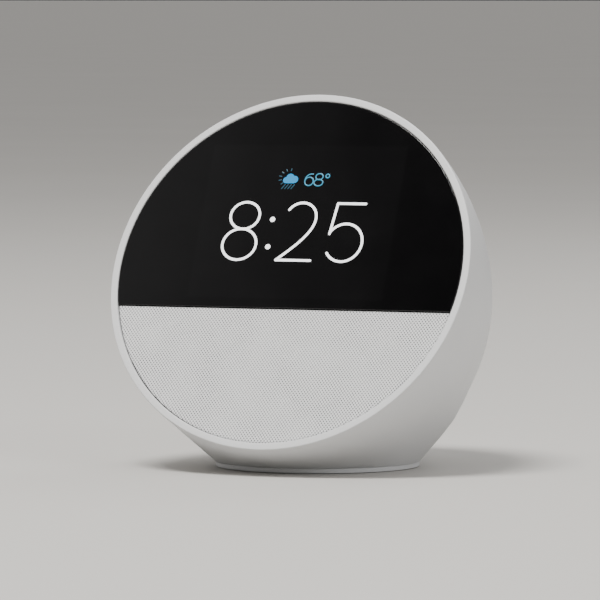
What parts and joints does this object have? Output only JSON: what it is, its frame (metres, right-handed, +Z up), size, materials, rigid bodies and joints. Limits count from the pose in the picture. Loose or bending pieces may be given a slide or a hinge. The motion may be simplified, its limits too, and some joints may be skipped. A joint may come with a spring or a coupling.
{
  "type": "smart display",
  "caption": "Rounded desk display: tilted round face with a screen above a fabric speaker grille, push buttons on top of the back and a rear power inlet.",
  "frame": {"origin": "centre of the foot pad's underside, on the surface the display stands on", "axes": "+Z up, the tilted face looks towards -Y and leans back, +X to the right of someone looking at the face from the front along +Y"},
  "size_m": [0.113, 0.1032, 0.1105],
  "materials": {
    "shell_plastic": "fine matte moulded",
    "foot_rubber": "matte",
    "screen_glass": "polished black-backed",
    "grille_fabric": "tight woven",
    "dark_plastic": "matte",
    "panel_glass": "polished",
    "light_guide": "gloss",
    "steel": "plated",
    "soft_rubber": "matte",
    "spider_cloth": "resin-stiffened",
    "cone_paper": "pressed pulp",
    "copper_wire": "enamelled copper",
    "magnet_ferrite": "sintered",
    "circuit_board": "solder mask",
    "sink_aluminium": "satin",
    "flex_film": "film",
    "wire_jacket": "jacket",
    "mic_metal": "plated",
    "switch_stem": "moulded"
  },
  "bodies": {
    "body": {"housing": "shell_plastic", "base_plate": "shell_plastic", "foot_pad": "foot_rubber", "base_weight": "steel", "base_screws": "steel", "cover_lens": "screen_glass", "lens_tape": "dark_plastic", "touch_sensor": "panel_glass", "lcd_panel": "panel_glass", "backlight": "light_guide", "lcd_tray": "steel", "light_sensor": "dark_plastic", "front_frame": "dark_plastic", "front_screws": "steel", "grille_plate": "dark_plastic", "grille_fabric": "grille_fabric", "speaker_gasket": "soft_rubber", "speaker_basket": "steel", "speaker_surround": "soft_rubber", "speaker_spider": "spider_cloth", "top_plate": "steel", "speaker_magnet": "magnet_ferrite", "speaker_yoke": "steel", "speaker_terminals": "circuit_board", "speaker_screws": "steel", "speaker_wires": "wire_jacket", "speaker_chamber": "dark_plastic", "chamber_screws": "steel", "main_board": "circuit_board", "board_parts": "dark_plastic", "shield_can": "steel", "heat_sink": "sink_aluminium", "board_screws": "steel", "antennas": "circuit_board", "display_ribbon": "flex_film", "button_ribbon": "flex_film", "button_board": "circuit_board", "button_bracket": "dark_plastic", "bracket_screws": "steel", "tact_switches": "dark_plastic", "microphones": "mic_metal", "mic_gaskets": "soft_rubber", "power_jack": "dark_plastic", "jack_pin": "steel", "jack_board": "circuit_board", "jack_screws": "steel", "power_lead": "wire_jacket"},
    "volume_down": {"volume_down_button": "shell_plastic", "volume_down_plunger": "switch_stem"},
    "mic_off": {"mic_off_button": "shell_plastic", "mic_off_plunger": "switch_stem"},
    "volume_up": {"volume_up_button": "shell_plastic", "volume_up_plunger": "switch_stem"},
    "cone": {"speaker_cone": "cone_paper", "dust_cap": "cone_paper", "voice_coil": "copper_wire"}
  },
  "joints": [
    {"name": "volume_down_press", "type": "slide", "parent": "body", "child": "volume_down", "axis": [0.2905, -0.6186, -0.7301], "range_m": [0, 0.0004], "stiffness_N_per_m": 1500},
    {"name": "mic_off_press", "type": "slide", "parent": "body", "child": "mic_off", "axis": [0, -0.6374, -0.7705], "range_m": [0, 0.0004], "stiffness_N_per_m": 1500},
    {"name": "volume_up_press", "type": "slide", "parent": "body", "child": "volume_up", "axis": [-0.2905, -0.6186, -0.7301], "range_m": [0, 0.0004], "stiffness_N_per_m": 1500},
    {"name": "cone_travel", "type": "slide", "parent": "body", "child": "cone", "axis": [0, -0.9063, 0.4226], "range_m": [-0.001, 0.001], "stiffness_N_per_m": 900, "deforming": ["speaker_surround", "speaker_spider"]}
  ]
}
